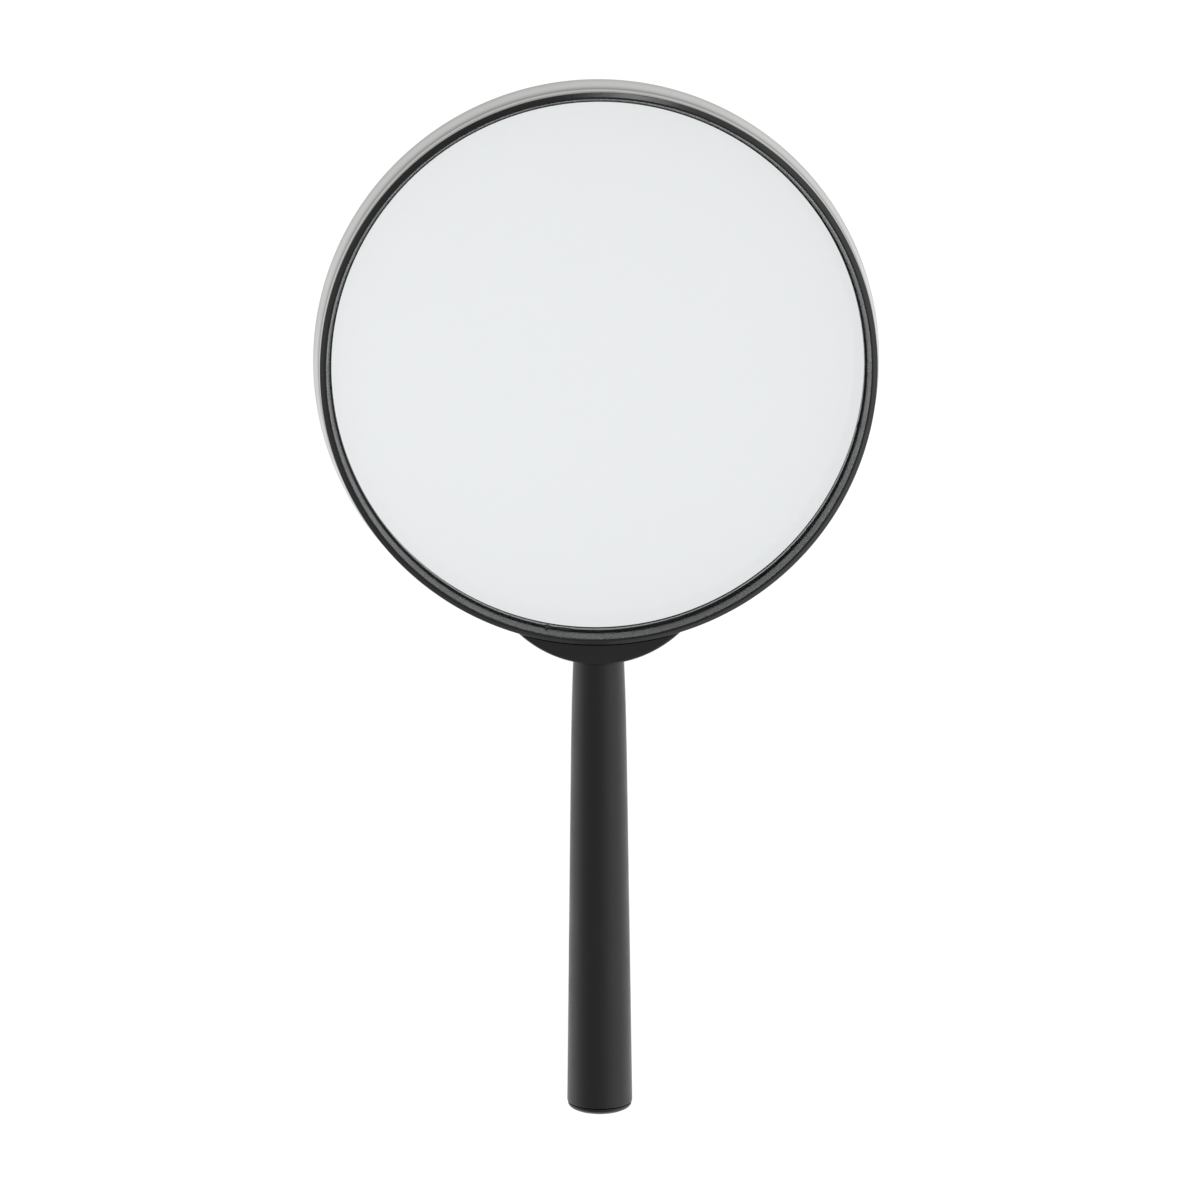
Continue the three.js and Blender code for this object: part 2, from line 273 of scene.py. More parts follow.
def down_handle(angle):
    """The place of a shape whose Z axis runs down the handle, turned about the ring's centre."""
    return ROUND_LENS @ Matrix.Rotation(angle, 4, "Z") @ Matrix.Rotation(math.pi / 2, 4, "X")


ALONG_HANDLE = down_handle(0)


def as_object(bm, name, place):
    """The shape as an object at the origin, with its place in its mesh."""
    bmesh.ops.transform(bm, matrix=place, verts=bm.verts)
    mesh = bpy.data.meshes.new(name)
    bm.to_mesh(mesh)
    bm.free()
    made = bpy.data.objects.new(name, mesh)
    bpy.context.scene.collection.objects.link(made)
    return made


def fitted(made, node, body, material, sharp=38):
    """Gives a piece its finish, hides the CAD solid it stands for and lets it ride on its body."""
    mesh = made.data
    mesh.shade_smooth()
    mesh.set_sharp_from_angle(angle=math.radians(sharp))
    mesh.materials.clear()
    mesh.materials.append(material)
    even = made.modifiers.new("Even shading", "WEIGHTED_NORMAL")
    even.mode = "FACE_AREA"
    even.keep_sharp = True
    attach(made, body)
    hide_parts(node)
    return made


def drilled(made, *cutters):
    """Cuts each shape out of a piece."""
    for cutter in cutters:
        cut = made.modifiers.new("Cut", "BOOLEAN")
        cut.operation = "DIFFERENCE"
        cut.solver = "EXACT"
        cut.object = cutter
    solid = bpy.data.meshes.new_from_object(made.evaluated_get(bpy.context.evaluated_depsgraph_get()))
    made.modifiers.clear()
    made.data = solid
    for cutter in cutters:
        bpy.data.objects.remove(cutter)


def drill(radius, start, end, angle=0, sides=STUD_STEPS):
    """A round cutter along the handle's axis, turned about the ring's centre."""
    bm = bmesh.new()
    outline(bm, [(0, start), (radius, start), (radius, end), (0, end)])
    turn(bm, sides)
    return as_object(bm, "drill", down_handle(angle))


# ---- materials ---------------------------------------------------------------
def add(tree, kind, inputs=None, **settings):
    """Adds a node. Each input gets its value, or a link from the output that is given for it."""
    made = tree.nodes.new(kind)
    for key, value in settings.items():
        setattr(made, key, value)
    for socket, value in (inputs or {}).items():
        if isinstance(value, NodeSocket):
            tree.links.new(value, made.inputs[socket])
        else:
            made.inputs[socket].default_value = value
    return made


def started(name):
    """An empty material with coordinates in millimetres, centred on the ring."""
    material = bpy.data.materials.new(name)
    material.use_nodes = True
    tree = material.node_tree
    tree.nodes.clear()
    where = add(tree, "ShaderNodeTexCoord")
    scale = 1 / MM
    centred = add(
        tree,
        "ShaderNodeMapping",
        {
            "Vector": where.outputs["Object"],
            "Location": [-c * scale for c in CENTRE],
            "Scale": (scale, scale, scale),
        },
    )
    return material, tree, centred.outputs["Vector"]


def finished(material, tree, shader):
    """The material with its shader joined to its output."""
    add(tree, "ShaderNodeOutputMaterial", {"Surface": shader})
    return material


def dusty(tree, where, base, dust, spacing, size):
    """The base colour with specks of dust this far apart and this large, in mm."""
    specks = add(
        tree,
        "ShaderNodeTexVoronoi",
        {"Vector": where, "Scale": 1 / spacing, "Randomness": 1.0},
        feature="F1",
    )
    edge = size / spacing
    mask = add(
        tree,
        "ShaderNodeMapRange",
        {
            "Value": specks.outputs["Distance"],
            "From Min": 0.6 * edge,
            "From Max": edge,
            "To Min": 0.8,
            "To Max": 0.0,
        },
    )
    mixed = add(tree, "ShaderNodeMix", {0: mask.outputs["Result"], 6: base, 7: dust}, data_type="RGBA")
    return mixed.outputs[2]


def moulded_abs(name, tint, dust, gloss, grain, grain_depth, specks):
    """Injection moulded black ABS, polished by its mould.

    It has a broad soft shine, broken by a faint ripple and by rubbed patches about 8 mm across.
    """
    material, tree, where = started(name)
    rubbed = add(
        tree,
        "ShaderNodeTexNoise",
        {"Vector": where, "Scale": 0.12, "Detail": 5.0, "Roughness": 0.6},
    )
    ripple = add(tree, "ShaderNodeTexNoise", {"Vector": where, "Scale": 1 / grain, "Detail": 3.0})
    bump = add(
        tree,
        "ShaderNodeBump",
        {"Height": ripple.outputs["Fac"], "Strength": 1.0, "Distance": grain_depth * MM},
    )
    sheen = add(
        tree,
        "ShaderNodeMapRange",
        {
            "Value": rubbed.outputs["Fac"],
            "From Min": 0.3,
            "From Max": 0.7,
            "To Min": gloss[0],
            "To Max": gloss[1],
        },
    )
    shader = add(
        tree,
        "ShaderNodeBsdfPrincipled",
        {
            "Base Color": dusty(tree, where, tint, dust, *specks),
            "Roughness": sheen.outputs["Result"],
            "IOR": 1.53,
            "Normal": bump.outputs["Normal"],
        },
    )
    return finished(material, tree, shader.outputs["BSDF"])


# Painted reflection stripes across the strip, from its rear edge to its front edge: height in mm and share
# of the full tone.
BAND_PAINTED_REFLECTION = (
    (-4.5, 0.6), (-3.4, 0.76), (-1.6, 1.0), (0.6, 0.92),
    (1.9, 0.5), (2.9, 0.5), (3.8, 0.85), (4.5, 1.0),
)


def rolled_aluminium(name, tint):
    """Bright rolled aluminium strip, with fine lines along it.

    The rolls pressed a shallow channel into it. Its colour holds painted reflections, light and dark
    stripes along it at set heights, and its polish has smudges about 12 mm across.
    """
    material, tree, where = started(name)
    stretched = add(tree, "ShaderNodeMapping", {"Vector": where, "Scale": (0.03, 0.03, 4.0)})
    lines = add(
        tree,
        "ShaderNodeTexNoise",
        {"Vector": stretched.outputs["Vector"], "Scale": 1.0, "Detail": 4.0},
    )
    smudge = add(tree, "ShaderNodeTexNoise", {"Vector": where, "Scale": 0.08, "Detail": 3.0})
    bump = add(
        tree,
        "ShaderNodeBump",
        {"Height": lines.outputs["Fac"], "Strength": 0.5, "Distance": 0.004 * MM},
    )
    polish = add(
        tree,
        "ShaderNodeMapRange",
        {"Value": smudge.outputs["Fac"], "From Min": 0.3, "From Max": 0.7, "To Min": 0.14, "To Max": 0.24},
    )
    edge = BAND_PAINTED_REFLECTION[-1][0]
    # Painted reflections: the base colour is made lighter and darker in stripes by height across the strip.
    height = add(tree, "ShaderNodeSeparateXYZ", {"Vector": where})
    across = add(
        tree,
        "ShaderNodeMapRange",
        {"Value": height.outputs["Z"], "From Min": -edge, "From Max": edge},
    )
    painted_stripes = add(tree, "ShaderNodeValToRGB", {"Fac": across.outputs["Result"]})
    stops = painted_stripes.color_ramp.elements
    for _ in BAND_PAINTED_REFLECTION[2:]:
        stops.new(0.5)
    for stop, (place, share) in zip(stops, BAND_PAINTED_REFLECTION):
        stop.position = (place / edge + 1) / 2
        stop.color = (share, share, share, 1)
    with_painted_stripes = add(
        tree,
        "ShaderNodeMix",
        {0: 1.0, 6: painted_stripes.outputs["Color"], 7: tint},
        data_type="RGBA",
        blend_type="MULTIPLY",
    )
    shader = add(
        tree,
        "ShaderNodeBsdfPrincipled",
        {
            "Base Color": with_painted_stripes.outputs[2],
            "Metallic": 1.0,
            "Roughness": polish.outputs["Result"],
            "Normal": bump.outputs["Normal"],
        },
    )
    return finished(material, tree, shader.outputs["BSDF"])


def crown_glass(name, tint):
    """Ground and polished crown glass: clear and almost colourless, with a mirror-like skin.

    Lamps shine through it onto what lies behind.
    """
    material, tree, _ = started(name)
    glass = add(
        tree,
        "ShaderNodeBsdfPrincipled",
        {"Base Color": tint, "Roughness": 0.0, "IOR": 1.52, "Transmission Weight": 1.0},
    )
    open_way = add(tree, "ShaderNodeBsdfTransparent", {"Color": tint})
    path = add(tree, "ShaderNodeLightPath")
    both = add(
        tree,
        "ShaderNodeMixShader",
        {0: path.outputs["Is Shadow Ray"], 1: glass.outputs["BSDF"], 2: open_way.outputs["BSDF"]},
    )
    return finished(material, tree, both.outputs["Shader"])


def machined_metal(name, tint, roughness, grain):
    """Small turned or plated metal: satin, with a fine grain left by the tool and the plating."""
    material, tree, where = started(name)
    spots = add(tree, "ShaderNodeTexNoise", {"Vector": where, "Scale": 1 / grain, "Detail": 4.0})
    bump = add(
        tree,
        "ShaderNodeBump",
        {"Height": spots.outputs["Fac"], "Strength": 0.6, "Distance": 0.01 * MM},
    )
    satin = add(
        tree,
        "ShaderNodeMapRange",
        {
            "Value": spots.outputs["Fac"],
            "From Min": 0.3,
            "From Max": 0.7,
            "To Min": roughness - 0.06,
            "To Max": roughness + 0.08,
        },
    )
    shader = add(
        tree,
        "ShaderNodeBsdfPrincipled",
        {
            "Base Color": tint,
            "Metallic": 1.0,
            "Roughness": satin.outputs["Result"],
            "Normal": bump.outputs["Normal"],
        },
    )
    return finished(material, tree, shader.outputs["BSDF"])


def soft_sheet(name, tint, dark, roughness, grain):
    """Vinyl or pressed fibre: dull, with a mottle of its own grain."""
    material, tree, where = started(name)
    mottle = add(tree, "ShaderNodeTexNoise", {"Vector": where, "Scale": 1 / grain, "Detail": 6.0})
    mixed = add(tree, "ShaderNodeMix", {0: mottle.outputs["Fac"], 6: dark, 7: tint}, data_type="RGBA")
    bump = add(
        tree,
        "ShaderNodeBump",
        {"Height": mottle.outputs["Fac"], "Strength": 0.7, "Distance": 0.02 * MM},
    )
    shader = add(
        tree,
        "ShaderNodeBsdfPrincipled",
        {"Base Color": mixed.outputs[2], "Roughness": roughness, "Normal": bump.outputs["Normal"]},
    )
    return finished(material, tree, shader.outputs["BSDF"])


def lit_acrylic(name, tint, glow):
    """Opal white acrylic table lit from below: pale and even, so that no shadow shows on it."""
    material, tree, where = started(name)
    tooth = add(tree, "ShaderNodeTexNoise", {"Vector": where, "Scale": 2.0, "Detail": 3.0})
    bump = add(
        tree,
        "ShaderNodeBump",
        {"Height": tooth.outputs["Fac"], "Strength": 0.1, "Distance": 0.01 * MM},
    )
    shader = add(
        tree,
        "ShaderNodeBsdfPrincipled",
        {
            "Base Color": tint,
            "Roughness": 0.9,
            "Specular IOR Level": 0.1,
            "Emission Color": (1, 1, 1, 1),
            "Emission Strength": glow,
            "Normal": bump.outputs["Normal"],
        },
    )
    return finished(material, tree, shader.outputs["BSDF"])


def darker(tint, share):
    """The same colour with this share of its brightness."""
    return (*(c * share for c in tint[:3]), 1)


FINISHES = {
    "bezel": lambda f: moulded_abs(
        "moulded gloss ABS",
        f.bezel,
        f.dust,
        gloss=(0.2, 0.32),
        grain=0.9,
        grain_depth=0.006,
        specks=(17, 0.1),
    ),
    "handle": lambda f: moulded_abs(
        "moulded satin ABS",
        f.handle,
        f.dust,
        gloss=(0.32, 0.44),
        grain=0.35,
        grain_depth=0.008,
        specks=(15, 0.12),
    ),
    "band": lambda f: rolled_aluminium("rolled bright aluminium", f.band),
    "glass": lambda f: crown_glass("polished crown glass", f.glass),
    "steel": lambda f: machined_metal("zinc plated steel", f.zinc, roughness=0.34, grain=0.2),
    "insert": lambda f: machined_metal("turned brass", f.brass, roughness=0.3, grain=0.15),
    "cushion": lambda f: soft_sheet(
        "extruded vinyl", f.vinyl, darker(f.vinyl, 0.8), roughness=0.5, grain=0.5
    ),
    "fibre": lambda f: soft_sheet(
        "pressed vulcanised fibre", f.fibre, darker(f.fibre, 0.6), roughness=0.75, grain=0.25
    ),
    "floor": lambda f: lit_acrylic("backlit opal acrylic", f.floor, glow=0.92),
}
MADE = {}


def finish_for(context, slot):
    """The material of one slot, made once."""
    if slot not in MADE:
        MADE[slot] = FINISHES[slot](context.scene.magnifier_finishes)
    return MADE[slot]


# ---- pieces round the lens ---------------------------------------------------
class MAGNIFIER_OT_lens(Operator):
    """Grind the biconvex lens and lay its vinyl cushion"""

    bl_idname = "magnifier.lens"
    bl_label = "Lens and cushion"

    def execute(self, context):
        size = context.scene.magnifier_lens
        rim = context.scene.magnifier_rim
        bulge = size.apex - size.edge / 2
        curve = (size.radius**2 + bulge**2) / (2 * bulge)
        bm = bmesh.new()
        apex = bm.verts.new((0, 0, size.apex * MM))
        bmesh.ops.spin(
            bm,
            geom=[apex],
            cent=(0, 0, (size.apex - curve) * MM),
            axis=(0, 1, 0),
            dvec=(0, 0, 0),
            angle=math.asin(size.radius / curve),
            steps=28,
        )
        bmesh.ops.mirror(bm, geom=bm.verts[:] + bm.edges[:], axis="Z", merge_dist=-1)
        rim_verts = sorted(bm.verts, key=lambda v: -v.co.x)[:2]
        bm.edges.new(rim_verts)
        bmesh.ops.spin(
            bm,
            geom=bm.verts[:] + bm.edges[:],
            cent=(0, 0, 0),
            axis=(0, 0, 1),
            dvec=(0, 0, 0),
            angle=math.radians(FULL_TURN),
            steps=size.steps,
            use_merge=True,
        )
        tidy(bm)
        ground = [
            e
            for e in bm.edges
            if all(abs(v.co.xy.length - size.radius * MM) < SAME for v in e.verts)
            and abs(e.verts[0].co.z - e.verts[1].co.z) < SAME
        ]
        bmesh.ops.bevel(
            bm,
            geom=ground,
            offset=size.chamfer * MM,
            offset_type="OFFSET",
            segments=1,
            profile=0.5,
            affect="EDGES",
            material=-1,
        )
        made = as_object(bm, "ground_lens", ROUND_LENS)
        fitted(made, "lens", "head", finish_for(context, "glass"), sharp=25)

        inner = size.radius + rim.clearance
        outer = half_width("lens_cushion")
        low, high = heights("lens_cushion")
        bm = bmesh.new()
        outline(bm, [(inner, low, 0.15), (outer, low, 0.15), (outer, high, 0.15), (inner, high, 0.15)])
        turn(bm, size.steps)
        made = as_object(bm, "vinyl_cushion", ROUND_LENS)
        fitted(made, "lens_cushion", "head", finish_for(context, "cushion"))
        return {"FINISHED"}


# Moulding flash left on the front lip: angle in degrees, width along the lip and reach inwards in mm.
FLASH = ((258.8, 1.1, 0.34), (262.4, 3.4, 0.1), (316.4, 0.55, 0.42), (322.0, 0.9, 0.12), (347.0, 1.2, 0.16))
# Where the lip stands slightly proud: angle and half width in degrees, and reach inwards in mm.
PROUD_ANGLE = 292
PROUD_SPREAD = 18
PROUD_REACH = 0.12
LIP_WIDTH = 0.25  # how much of the lip, in mm from its edge, moves with its flash


def band_radius(rim, height):
    """Outer radius of the tapered band at this height over the lens's middle plane, in mm."""
    spread = rim.band_rear - rim.band_front
    return rim.band_front + spread * (rim.band_half - height) / (2 * rim.band_half)


class MAGNIFIER_OT_bezels(Operator):
    """Mould the front and rear bezels"""

    bl_idname = "magnifier.bezels"
    bl_label = "Bezels"

    def execute(self, context):
        rim = context.scene.magnifier_rim
        gap = rim.clearance
        half = heights("front_bezel")[1]
        hook = rim.band_half - rim.band_wall - gap
        flange = rim.band_half + gap

        def collar(height):
            return band_radius(rim, height) - rim.band_wall - 2 * gap

        groove = rim.band_front - rim.band_wall - rim.band_hook - gap
        bm = bmesh.new()
        outline(
            bm,
            [
                (rim.lip, rim.lip_seat, 0.1),
                (collar(rim.lip_seat), rim.lip_seat, 0.1),
                (collar(hook), hook, 0.1),
                (groove, hook),
                (groove, flange),
                (rim.front_flange, flange, 0.06),
                (rim.front_flange, half - rim.shoulder, 0.16),
                (rim.crest + rim.crest_flat, half, 0.12),
                (rim.crest, half, 0.14, 0.3),
                (rim.crest - rim.cove, rim.lip_top + rim.cove_rise, 0.5),
                (rim.lip, rim.lip_top, 0.12, 0.2),
            ],
        )
        turn(bm, RING_STEPS)
        for vert in bm.verts:
            radius = vert.co.xy.length
            if radius > (rim.lip + LIP_WIDTH) * MM:
                continue
            angle = math.degrees(math.atan2(vert.co.y, vert.co.x)) % FULL_TURN
            inwards = 0
            for at, width, height in FLASH:
                along = math.radians(abs(angle - at)) * rim.lip
                inwards += height * max(0, 1 - (2 * along / width) ** 2)
            inwards += PROUD_REACH * max(0, 1 - ((angle - PROUD_ANGLE) / PROUD_SPREAD) ** 4)
            near_top = min(1, max(0, (vert.co.z / MM - rim.lip_seat) / (rim.lip_top - rim.lip_seat)))
            push(vert, radius / MM - inwards * near_top)
        made = as_object(bm, "front_moulded_bezel", ROUND_LENS)
        fitted(made, "front_bezel", "head", finish_for(context, "bezel"))

        groove = rim.band_rear - rim.band_wall - rim.band_hook - gap
        bm = bmesh.new()
        outline(
            bm,
            [
                (rim.lip, -rim.lip_top, 0.12, 0.4),
                (rim.crest, -half, 0.2),
                (rim.rear_flange, -half, rim.heel_width, rim.heel),
                (rim.rear_flange, -flange, 0.06),
                (groove, -flange),
                (groove, -hook),
                (collar(-hook), -hook, 0.1),
                (collar(-rim.lip_seat), -rim.lip_seat, 0.1),
                (rim.lip, -rim.lip_seat, 0.1),
            ],
        )
        turn(bm, RING_STEPS // 2)
        made = as_object(bm, "rear_moulded_bezel", ROUND_LENS)
        fitted(made, "rear_bezel", "head", finish_for(context, "bezel"))
        return {"FINISHED"}


# The strip's face from its rear edge to its front edge: share of its width and depth below the taper in mm.
BAND_FACE = ((0.08, 0.0), (0.3, 0.0), (0.55, 0.0), (0.74, 0.03), (0.8, 0.1), (0.86, 0.1), (0.91, 0.02))


class MAGNIFIER_OT_band(Operator):
    """Roll the bright band that hooks both bezels together"""

    bl_idname = "magnifier.band"
    bl_label = "Band"

    def execute(self, context):
        rim = context.scene.magnifier_rim
        half = rim.band_half
        back = half - rim.band_wall

        def inner(height):
            return band_radius(rim, height) - rim.band_wall

        face = []
        for share, depth in BAND_FACE:
            height = half * (2 * share - 1)
            face.append((band_radius(rim, height) - depth, height, 0.05))
        bm = bmesh.new()
        outline(
            bm,
            [
                (rim.band_rear, -half, 0.25),
                *face,
                (rim.band_front, half, 0.25),
                (inner(half) - rim.band_hook, half, 0.1),
                (inner(half) - rim.band_hook, back, 0.1),
                (inner(back), back),
                (inner(-back), -back),
                (inner(-half) - rim.band_hook, -back, 0.1),
                (inner(-half) - rim.band_hook, -half, 0.1),
            ],
        )
        split = math.degrees(rim.band_split / rim.band_rear)
        turn(bm, RING_STEPS // 2, FULL_TURN - split)
        spin_side = math.radians(-90 + split / 2)
        made = as_object(bm, "rolled_band", ROUND_LENS @ Matrix.Rotation(spin_side, 4, "Z"))
        rivet = rivet_angle(context)
        start = inner(0) - 1
        end = rim.band_rear + 1
        stud_hole = half_width("handle_stud") + rim.clearance
        drilled(
            made,
            drill(stud_hole, start, end),
            drill(RIVET_HOLE, start, end, rivet),
            drill(RIVET_HOLE, start, end, -rivet),
        )
        fitted(made, "rim_band", "head", finish_for(context, "band"), sharp=30)
        return {"FINISHED"}


# ---- saddle, joint plate and rivets --------------------------------------------
def rivet_angle(context):
    """How far each rivet stands from the handle's line, seen from the ring's centre."""
    low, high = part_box("joint_rivet_right")
    return math.atan2((low.x + high.x) / 2, CENTRE.y - (low.y + high.y) / 2)


class MAGNIFIER_OT_saddle(Operator):
    """Mould the fan-shaped saddle under the rim"""

    bl_idname = "magnifier.saddle"
    bl_label = "Saddle"

    def execute(self, context):
        size = context.scene.magnifier_saddle
        rim = context.scene.magnifier_rim
        gap = rim.clearance
        middle = size.end - size.curve
        # The slice's chord is hidden inside the rim, and what lies inside the rim is cut away.
        chord = rim.lip - 2 * size.softening
        half_slice = math.acos((chord - middle) / size.curve)
        bm = bmesh.new()
        tip = bm.verts.new((size.curve * math.sin(half_slice) * MM, -size.half_depth * MM, chord * MM))
        bmesh.ops.spin(
            bm,
            geom=[tip],
            cent=(0, -size.half_depth * MM, middle * MM),
            axis=(0, 1, 0),
            dvec=(0, 0, 0),
            angle=-2 * half_slice,
            steps=GRIP_STEPS,
        )
        bmesh.ops.contextual_create(bm, geom=bm.verts[:] + bm.edges[:])
        sides = bmesh.ops.extrude_face_region(bm, geom=bm.faces[:])
        raised = [e for e in sides["geom"] if isinstance(e, bmesh.types.BMVert)]
        bmesh.ops.translate(bm, verts=raised, vec=(0, 2 * size.half_depth * MM, 0))
        tidy(bm)
        edges = [
            e
            for e in bm.edges
            if abs(e.verts[0].co.y - e.verts[1].co.y) < MERGE
            and all(abs(math.hypot(v.co.x, v.co.z - middle * MM) - size.curve * MM) < SAME for v in e.verts)
            and e.calc_length() < 2 * MM
        ]
        bmesh.ops.bevel(
            bm,
            geom=edges,
            offset=size.softening * MM,
            offset_type="OFFSET",
            segments=6,
            profile=0.5,
            affect="EDGES",
            material=-1,
        )
        tidy(bm)
        made = as_object(bm, "moulded_saddle", ALONG_HANDLE)
        socket_floor = size.end - size.socket_depth
        pocket = reach("joint_rivet_left")[1] + gap / 2
        plate = half_width("joint_plate") + gap
        plate_half = heights("joint_plate")[1] + gap
        bm = bmesh.new()
        bmesh.ops.create_cube(bm, size=1)
        across = (2 * plate * MM, 2 * plate_half * MM, (pocket - CUT_START) * MM)
        bmesh.ops.scale(bm, vec=across, verts=bm.verts)
        bmesh.ops.translate(bm, vec=(0, 0, (pocket + CUT_START) / 2 * MM), verts=bm.verts)
        room = as_object(bm, "room", ALONG_HANDLE)
        step = rim.band_half + gap / 2
        clear = 2 * size.half_depth
        bm = bmesh.new()
        outline(
            bm,
            [
                (0, -clear),
                (rim.rear_flange + gap, -clear),
                (rim.rear_flange + gap, -step),
                (rim.band_rear + gap, -step),
                (rim.band_front + gap, step),
                (rim.front_flange + gap, step),
                (rim.front_flange + gap, clear),
                (0, clear),
            ],
        )
        turn(bm, RING_STEPS)
        envelope = as_object(bm, "envelope", ROUND_LENS)
        drilled(
            made,
            envelope,
            room,
            drill(size.socket_radius, socket_floor, size.end + 2, sides=SMALL_STEPS),
            drill(STUD_HOLE, CUT_START, size.end + 2),
        )
        fitted(made, "saddle", "head", finish_for(context, "handle"), sharp=32)
        return {"FINISHED"}


class MAGNIFIER_OT_rivets(Operator):
    """Set the joint plate and its two rivets across the band's split"""

    bl_idname = "magnifier.rivets"
    bl_label = "Joint plate and rivets"

    def execute(self, context):
        steel = finish_for(context, "steel")
        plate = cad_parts["joint_plate"]
        plate.data.materials.clear()
        plate.data.materials.append(steel)
        angle = rivet_angle(context)
        rim = context.scene.magnifier_rim
        start = (rim.band_front + rim.band_rear) / 2 - rim.band_wall + rim.clearance / 2
        end = reach("joint_rivet_right")[1] / math.cos(angle)
        neck = end - RIVET_HEAD_HEIGHT
        for side, name in ((1, "right"), (-1, "left")):
            bm = bmesh.new()
            outline(
                bm,
                [
                    (0, start),
                    (RIVET_SHANK, start, 0.1),
                    (RIVET_SHANK, neck),
                    (RIVET_HEAD, neck, 0.05),
                    (RIVET_HEAD, end, 0.8, 0.2),
                    (0, end),
                ],
            )
            turn(bm, RIVET_STEPS)
            made = as_object(bm, f"domed_rivet_{name}", down_handle(side * angle))
            fitted(made, f"joint_rivet_{name}", "head", steel)
        return {"FINISHED"}


# ---- screw, nut and washers ------------------------------------------------------
class MAGNIFIER_OT_screw(Operator):
    """Cut the stud's thread and make its nut and lock washer"""

    bl_idname = "magnifier.screw"
    bl_label = "Stud, nut and lock washer"

    def execute(self, context):
        size = context.scene.magnifier_screw
        steel = finish_for(context, "steel")
        start, end = reach("handle_stud")
        head = half_width("handle_stud")
        shank = start + STUD_HEAD_HEIGHT
        root = size.radius - size.depth
        turns = int((end - start) / size.pitch) + 3
        bm = bmesh.new()
        verts = []
        for radius, share in ((root, 0), (size.radius, 0.42), (size.radius, 0.58), (root, 1)):
            height = start - size.pitch + share * size.pitch
            verts.append(bm.verts.new((radius * MM, 0, height * MM)))
        for a, b in zip(verts, verts[1:]):
            bm.edges.new((a, b))
        bmesh.ops.spin(
            bm,
            geom=bm.verts[:] + bm.edges[:],
            cent=(0, 0, 0),
            axis=(0, 0, 1),
            dvec=(0, 0, size.pitch * MM / THREAD_STEPS),
            angle=math.radians(FULL_TURN * turns),
            steps=THREAD_STEPS * turns,
        )
        bmesh.ops.remove_doubles(bm, verts=bm.verts, dist=SAME)
        for height, side in ((shank, -1), (end, 1)):
            bmesh.ops.bisect_plane(
                bm,
                geom=bm.verts[:] + bm.edges[:] + bm.faces[:],
                plane_co=(0, 0, height * MM),
                plane_no=(0, 0, side),
                clear_outer=True,
            )
        bmesh.ops.holes_fill(bm, edges=[e for e in bm.edges if e.is_boundary], sides=0)
        point = size.radius / 3
        for vert in bm.verts:
            past = vert.co.z / MM - (end - point)
            if past > 0:
                push(vert, min(vert.co.xy.length / MM, size.radius - past))
        tidy(bm)
        disc = bmesh.new()
        outline(disc, [(0, start), (head, start, 0.12), (head, shank, 0.08), (0, shank)])
        turn(disc, STUD_STEPS)
        lump = bpy.data.meshes.new("stud_head")
        disc.to_mesh(lump)
        disc.free()
        bm.from_mesh(lump)
        bpy.data.meshes.remove(lump)
        made = as_object(bm, "threaded_stud", ALONG_HANDLE)
        fitted(made, "handle_stud", "head", steel)

        start, end = reach("saddle_nut")
        corner = size.flats / math.sqrt(3)
        bore = size.radius + THREAD_ROOM
        face = size.flats / 2 - NUT_FACE_EDGE
        bm = bmesh.new()
        outline(
            bm,
            [
                (bore, start, 0.15),
                (face, start),
                (corner, start + NUT_CHAMFER),
                (corner, end - NUT_CHAMFER),
                (face, end),
                (bore, end, 0.15),
            ],
        )
        turn(bm, SMALL_STEPS)
        for vert in bm.verts:
            round_flat = math.atan2(vert.co.y, vert.co.x) % (math.pi / 3) - math.pi / 6
            push(vert, min(vert.co.xy.length / MM, size.flats / 2 / math.cos(round_flat)))
        made = as_object(bm, "hexagon_nut", ALONG_HANDLE @ Matrix.Rotation(math.pi / 6, 4, "Z"))
        fitted(made, "saddle_nut", "head", steel, sharp=20)

        start, end = reach("saddle_lock_washer")
        outer = half_width("saddle_lock_washer")
        bm = bmesh.new()
        outline(bm, [(bore, start, 0.06), (outer, start, 0.06), (outer, end, 0.06), (bore, end, 0.06)])
        split = math.degrees(WASHER_SPLIT / outer)
        turn(bm, SMALL_STEPS, FULL_TURN - split)
        place = ALONG_HANDLE @ Matrix.Rotation(math.radians(split / 2), 4, "Z")
        made = as_object(bm, "split_lock_washer", place)
        fitted(made, "saddle_lock_washer", "head", steel)
        return {"FINISHED"}


class MAGNIFIER_OT_friction_washer(Operator):
    """Punch the fibre washer under the handle"""

    bl_idname = "magnifier.friction_washer"
    bl_label = "Friction washer"

    def execute(self, context):
        start, end = reach("friction_washer")
        outer = half_width("friction_washer")
        scene = context.scene
        inner = scene.magnifier_screw.flats / math.sqrt(3) + scene.magnifier_rim.clearance
        bm = bmesh.new()
        outline(bm, [(inner, start, 0.1), (outer, start, 0.1), (outer, end, 0.1), (inner, end, 0.1)])
        turn(bm, GRIP_STEPS)
        made = as_object(bm, "fibre_washer", ALONG_HANDLE)
        fitted(made, "friction_washer", "washer", finish_for(context, "fibre"))
        return {"FINISHED"}


